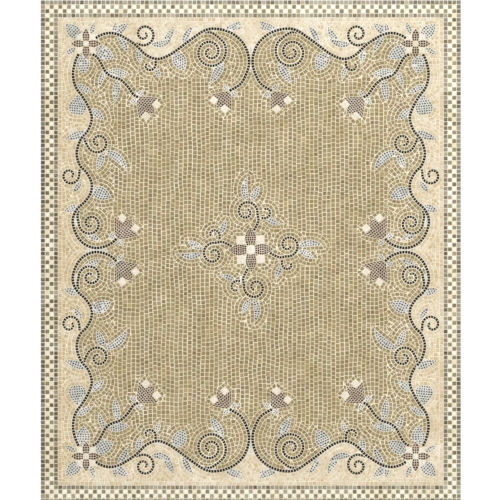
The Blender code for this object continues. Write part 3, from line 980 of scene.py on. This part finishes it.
thread_material, shader = blank("resin_coated_glass_fibre")
place = add(thread_material, "TexCoord").outputs["Object"]
fibres = add(thread_material, "TexNoise", {"Vector": place, "Scale": FIBRE_SCALE}).outputs["Fac"]
colour = ramp(thread_material, fibres, [(0.3, "D9D8CF"), (0.7, "F2F1EA")])
bump = add(thread_material, "Bump", {"Height": fibres, "Strength": 0.5, "Distance": FIBRE_HEIGHT})
join(thread_material, shader, Base_Color=colour, Normal=bump.outputs[0])
shader.inputs["Roughness"].default_value = 0.4
print("materials:", len(bpy.data.materials))

# %% [markdown]
# ## Making the stones
#
# All stones of one kind are one piece. It starts as their flat outlines. They are extruded to the
# stones' depth, inset a little for the worn edge of each face, and then every stone is set a hair
# deeper or tilted, as no hand sets them quite level. The stones of the border and the cream ground get
# painted light and shade: the left side is painted yellower and darker, the top and the foot paler.

# %% Turn outlines into stones
ARRIS = 0.45
ARRIS_DEPTH = ARRIS * 0.7
LEAST_FACE = 3.0
LEAST_EDGE = 0.6
ROW_END = 0.7
DROP = 0.35
TILT = 0.02
# Painted light and shade along the left, right, top and foot: how much darker or paler the stones near each
# side are painted, and how far in from a side it fades.
PAINTED_SIDE_LIGHT = (-0.29, -0.06, 0.12, 0.06)
PAINTED_LIGHT_BLEND = 40.0


def inset_ring(ring, gap, way):
    """Return a cell without its share of the joints, which are narrower between a row's stones."""
    smaller = ring
    for nx, nz, limit in sides_of(ring):
        at_end = way is not None and abs(nx * way[0] + nz * way[1]) > ROW_END
        smaller = cut(smaller, nx, nz, limit - gap * (END_JOINT_SHARE if at_end else 1))
        if len(smaller) < 3:
            return []
    return [a for a, b in zip(smaller, smaller[1:] + smaller[:1]) if math.dist(a, b) > LEAST_EDGE]


def flat_piece(name, corners, faces, material):
    """Return a new object with these flat faces."""
    mesh = bpy.data.meshes.new(name)
    mesh.from_pydata(corners, [], faces)
    mesh.materials.append(material)
    piece = bpy.data.objects.new(name, mesh)
    bpy.context.scene.collection.objects.link(piece)
    return piece


def thicken(piece, move, arris=None):
    """Extrude a flat object forwards, and inset each front face by an arris where one is given."""
    bpy.ops.object.select_all(action="DESELECT")
    piece.select_set(True)
    bpy.context.view_layer.objects.active = piece
    bpy.ops.object.mode_set(mode="EDIT")
    bpy.ops.mesh.select_all(action="SELECT")
    bpy.ops.mesh.extrude_region_move(TRANSFORM_OT_translate={"value": (0, move, 0)})
    if arris:
        bpy.ops.mesh.inset(thickness=arris[0], depth=arris[1], use_individual=True)
    bpy.ops.mesh.select_all(action="SELECT")
    bpy.ops.mesh.normals_make_consistent(inside=False)
    bpy.ops.object.mode_set(mode="OBJECT")


def painted_side_light_of(x, z):
    """Return how much paler than usual the stones are painted here, from the painted light and shade along
    the four sides.
    """
    gaps = (HALF_WIDTH + x, HALF_WIDTH - x, HALF_HEIGHT - z, HALF_HEIGHT + z)
    shares = [1 / (gap + PAINTED_LIGHT_BLEND) ** 3 for gap in gaps]
    return sum(share * batch for share, batch in zip(shares, PAINTED_SIDE_LIGHT)) / sum(shares)


def stone_piece(name, kind, material, nodes, painted_light=False, variety=1.0):
    """Make one piece of all stones of a kind, and let it stand for these CAD nodes."""
    corners, faces, tones, hues, drops = [], [], [], [], []
    for stone in stones:
        if stone["kind"] != kind:
            continue
        ring = inset_ring(stone["ring"], stone["joint"] / 2, stone["way"])
        if len(ring) < 3 or area_of(ring) < LEAST_FACE:
            continue
        tone = 0.5 + random.triangular(-0.5, 0.5, 0.0) * variety
        # Painted light and shade: stones near the left are painted darker and yellower, stones near the top
        # and foot paler.
        tone += painted_side_light_of(stone["x"], stone["z"]) if painted_light else 0
        hue, drop = random.random(), random.uniform(0, DROP)
        lean_x, lean_z = random.uniform(-TILT, TILT), random.uniform(-TILT, TILT)
        faces.append(range(len(corners), len(corners) + len(ring)))
        for x, z in ring:
            corners.append((x * MM, STONE_BACK, z * MM))
            tones.append(tone)
            hues.append(hue)
            drops.append(max(0.0, drop + lean_x * (x - stone["x"]) + lean_z * (z - stone["z"])) * MM)
    piece = flat_piece(name, corners, faces, material)
    mesh = piece.data
    for label, values in (("tone", tones), ("hue", hues), ("drop", drops)):
        mesh.attributes.new(label, "FLOAT", "POINT").data.foreach_set("value", values)
    depth = STONE_BACK - STONE_FACE
    thicken(piece, ARRIS_DEPTH * MM - depth, (ARRIS * MM, ARRIS_DEPTH * MM))
    for vertex, drop in zip(mesh.vertices, mesh.attributes["drop"].data):
        vertex.co.y += drop.value * (STONE_BACK - vertex.co.y) / depth
    mesh.attributes.remove(mesh.attributes["drop"])
    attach(piece, "root")
    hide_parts(*nodes)
    triangles = sum(len(face.vertices) - 2 for face in mesh.polygons)
    print(name, len(faces), "stones", triangles, "triangles")


# %% Make every piece of stone
CREAM_VARIETY, OLIVE_VARIETY, WHITE_VARIETY = 0.65, 0.85, 0.5
sprigs = [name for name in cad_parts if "sprig" in name]
blooms = [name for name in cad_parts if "flower" in name or "bud" in name]
# The border and the cream ground get the painted light and shade along the sides.
for line in ("outer_line", "inner_line"):
    stone_piece(line + "_stones", line, line_marble, [line], painted_light=True)
for kind, material in (("checker_olive", checker_olive_marble), ("checker_white", checker_white_marble)):
    stone_piece(kind + "_stones", kind, material, ["checker_border"], painted_light=True)
stone_piece("cream_ground_stones", "cream", cream_marble, ["cream_ground"],
            painted_light=True, variety=CREAM_VARIETY)
for name, kind in (("olive_field_rows", "olive"), ("olive_field_columns", "olive_column")):
    stone_piece(name, kind, olive_marble, ["olive_field"], variety=OLIVE_VARIETY)
stone_piece("vine_stones", "vine", black_marble, sprigs)
stone_piece("leaf_stones", "leaf", leaf_marble, sprigs)
stone_piece("pale_strip_stones", "strip", strip_marble, sprigs)
stone_piece("petal_and_bud_stones", "rose", rose_marble, blooms)
stone_piece("white_flower_stones", "white", white_marble, blooms, variety=WHITE_VARIETY)

# %% [markdown]
# ## The mortar
#
# The mortar is one slab from behind the stones to just below their faces, so it shows in every joint.
# It starts as a grid, which is extruded forwards. Then its front is pushed in and out a little, as
# wiped joints are never quite even, and its back goes to the bed's back.

# %% Make the mortar
JOINT_DEPTH = 0.7
JOINT_WAVE, WAVE_SCALE = 0.2, 45
EDGE_SETBACK = 0.5
BED_COLUMNS, BED_LINES = 100, 119
BED_MOVE = -1
bed_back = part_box("mortar_bed")[1].y
bpy.ops.mesh.primitive_grid_add(x_subdivisions=BED_COLUMNS, y_subdivisions=BED_LINES, size=2)
bed = bpy.context.object
bed.name = bed.data.name = "mortar_bed_and_joints"
bed.rotation_euler = (math.pi / 2, 0, 0)
bed.scale = ((HALF_WIDTH - EDGE_SETBACK) * MM, (HALF_HEIGHT - EDGE_SETBACK) * MM, 1)
bpy.ops.object.transform_apply(location=True, rotation=True, scale=True)
thicken(bed, BED_MOVE)
for vertex in bed.data.vertices:
    if vertex.co.y < BED_MOVE / 2:
        wave = noise.noise(vertex.co * WAVE_SCALE) * JOINT_WAVE
        vertex.co.y = STONE_FACE + (JOINT_DEPTH + wave) * MM
    else:
        vertex.co.y = bed_back
bed.data.materials.append(mortar_material)
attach(bed, "root")
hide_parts("mortar_bed")
print("mortar faces:", len(bed.data.polygons))

# %% [markdown]
# Between the leaf stones the joints are wide and filled with a whiter mortar, which makes the leaves
# look pale from afar. Each leaf's outline is filled and extruded as a thin patch, which lies a hair
# above the bed's surface. Neighbouring patches differ a little in height, as two leaves may overlap.

# %% Make the white mortar in the leaves
PATCH_FRONT, PATCH_BACK = 0.40, 1.5
PATCH_STEP, PATCH_STEPS = 0.02, 5
corners, faces = [], []
for number, outline in enumerate(leaf_outlines):
    back = STONE_FACE + (PATCH_BACK - number % PATCH_STEPS * PATCH_STEP) * MM
    faces.append(range(len(corners), len(corners) + len(outline)))
    corners.extend((point.x * MM, back, point.y * MM) for point in outline)
patches = flat_piece("leaf_mortar", corners, faces, leaf_mortar_material)
thicken(patches, (PATCH_FRONT - PATCH_BACK) * MM)
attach(patches, "root")
print("leaf patches:", len(leaf_outlines))

# %% [markdown]
# ## The mesh on the back
#
# The back of the panel is a glass-fibre mesh with square openings. One thread is modelled as a thin
# flattened rod and repeated by an Array modifier, once upright and once across.

# %% Make the glass-fibre mesh
THREAD_PITCH = 5.0
THREAD_WIDTH = 0.9
THREAD_CORNERS = 6
mesh_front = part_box("backing_mesh")[0].y
thread_depth = -mesh_front / 2
threads = []
for across in (False, True):
    length = 2 * (HALF_WIDTH if across else HALF_HEIGHT)
    reach = 2 * (HALF_HEIGHT if across else HALF_WIDTH)
    count = int((reach - THREAD_WIDTH) / THREAD_PITCH) + 1
    start = -(count - 1) * THREAD_PITCH / 2
    bpy.ops.mesh.primitive_cylinder_add(vertices=THREAD_CORNERS, radius=1, depth=length * MM)
    thread = bpy.context.object
    thread.scale = (THREAD_WIDTH / 2 * MM, thread_depth / 2, 1)
    bpy.ops.object.transform_apply(location=True, rotation=True, scale=True)
    if across:
        thread.rotation_euler = (0, math.pi / 2, 0)
        thread.location = (0, mesh_front + thread_depth / 2, start * MM)
    else:
        thread.location = (start * MM, -thread_depth / 2, 0)
    bpy.ops.object.transform_apply(location=True, rotation=True, scale=True)
    array = thread.modifiers.new("threads", "ARRAY")
    array.count = count
    array.use_relative_offset = False
    array.use_constant_offset = True
    array.constant_offset_displace = (0, 0, THREAD_PITCH * MM) if across else (THREAD_PITCH * MM, 0, 0)
    bpy.ops.object.modifier_apply(modifier="threads")
    threads.append(thread)
bpy.ops.object.select_all(action="DESELECT")
for thread in threads:
    thread.select_set(True)
bpy.context.view_layer.objects.active = threads[0]
bpy.ops.object.join()
scrim = bpy.context.object
scrim.name = scrim.data.name = "glass_fibre_mesh"
scrim.data.materials.clear()
scrim.data.materials.append(thread_material)
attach(scrim, "root")
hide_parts("backing_mesh")
print("mesh faces:", len(scrim.data.polygons))

# %% [markdown]
# ## Floor, light and camera
#
# The panel was photographed flat and straight on, in even light, on white. A long lens far away keeps
# its sides parallel. The sky gives most of the light, and a large soft lamp from above, a little to the
# right, shows that the stones aren't quite level.

# %% Make the floor
FLOOR, FLOOR_SIZE = -0.80, 3.8
bpy.ops.mesh.primitive_plane_add(size=FLOOR_SIZE, location=(0, 0, FLOOR))
floor = bpy.context.object
floor.name = "floor"
floor_material, shader = blank("white_painted_floor")
shader.inputs["Base Color"].default_value = linear("F8F8F8")
shader.inputs["Roughness"].default_value = 0.9
floor.data.materials.append(floor_material)

# %% Light the panel
SKY_LIGHT = 0.62
BACKDROP = 1.05
KEY_PLACE = Vector((1.4, -3.5, 3.1))
KEY_SIZE, KEY_WATTS = 2.0, 118
world = bpy.data.worlds.new("even_white_light")
bpy.context.scene.world = world
world.use_nodes = True
sky = world.node_tree.nodes["Background"]
sky.inputs["Color"].default_value = (1, 1, 1, 1)
seen = add(world, "LightPath").outputs["Is Camera Ray"]
strength = add(world, "MapRange", {"Value": seen, "To Min": SKY_LIGHT, "To Max": BACKDROP})
join(world, sky, Strength=strength.outputs["Result"])
light = bpy.data.lights.new("key_light", "AREA")
light.size, light.energy = KEY_SIZE, KEY_WATTS
lamp = bpy.data.objects.new("key_light", light)
lamp.location = KEY_PLACE
lamp.rotation_euler = (-KEY_PLACE).to_track_quat("-Z", "Y").to_euler()
bpy.context.scene.collection.objects.link(lamp)
bpy.context.scene.view_settings.view_transform = "Standard"

# %% Place the camera
LENS, SENSOR = 200, 36
PHOTO_HEIGHT = 1.2126
PHOTO_MIDDLE = (-0.0019, 0.0035)
camera_data = bpy.data.cameras.new("camera")
camera_data.lens = LENS
camera_data.sensor_width = SENSOR
camera_data.clip_end = 100
camera = bpy.data.objects.new("camera", camera_data)
camera.location = (PHOTO_MIDDLE[0], STONE_FACE - PHOTO_HEIGHT * LENS / SENSOR, PHOTO_MIDDLE[1])
camera.rotation_euler = (math.pi / 2, 0, 0)
bpy.context.scene.collection.objects.link(camera)
bpy.context.scene.camera = camera
print("camera distance:", round(-camera.location.y, 2), "m")
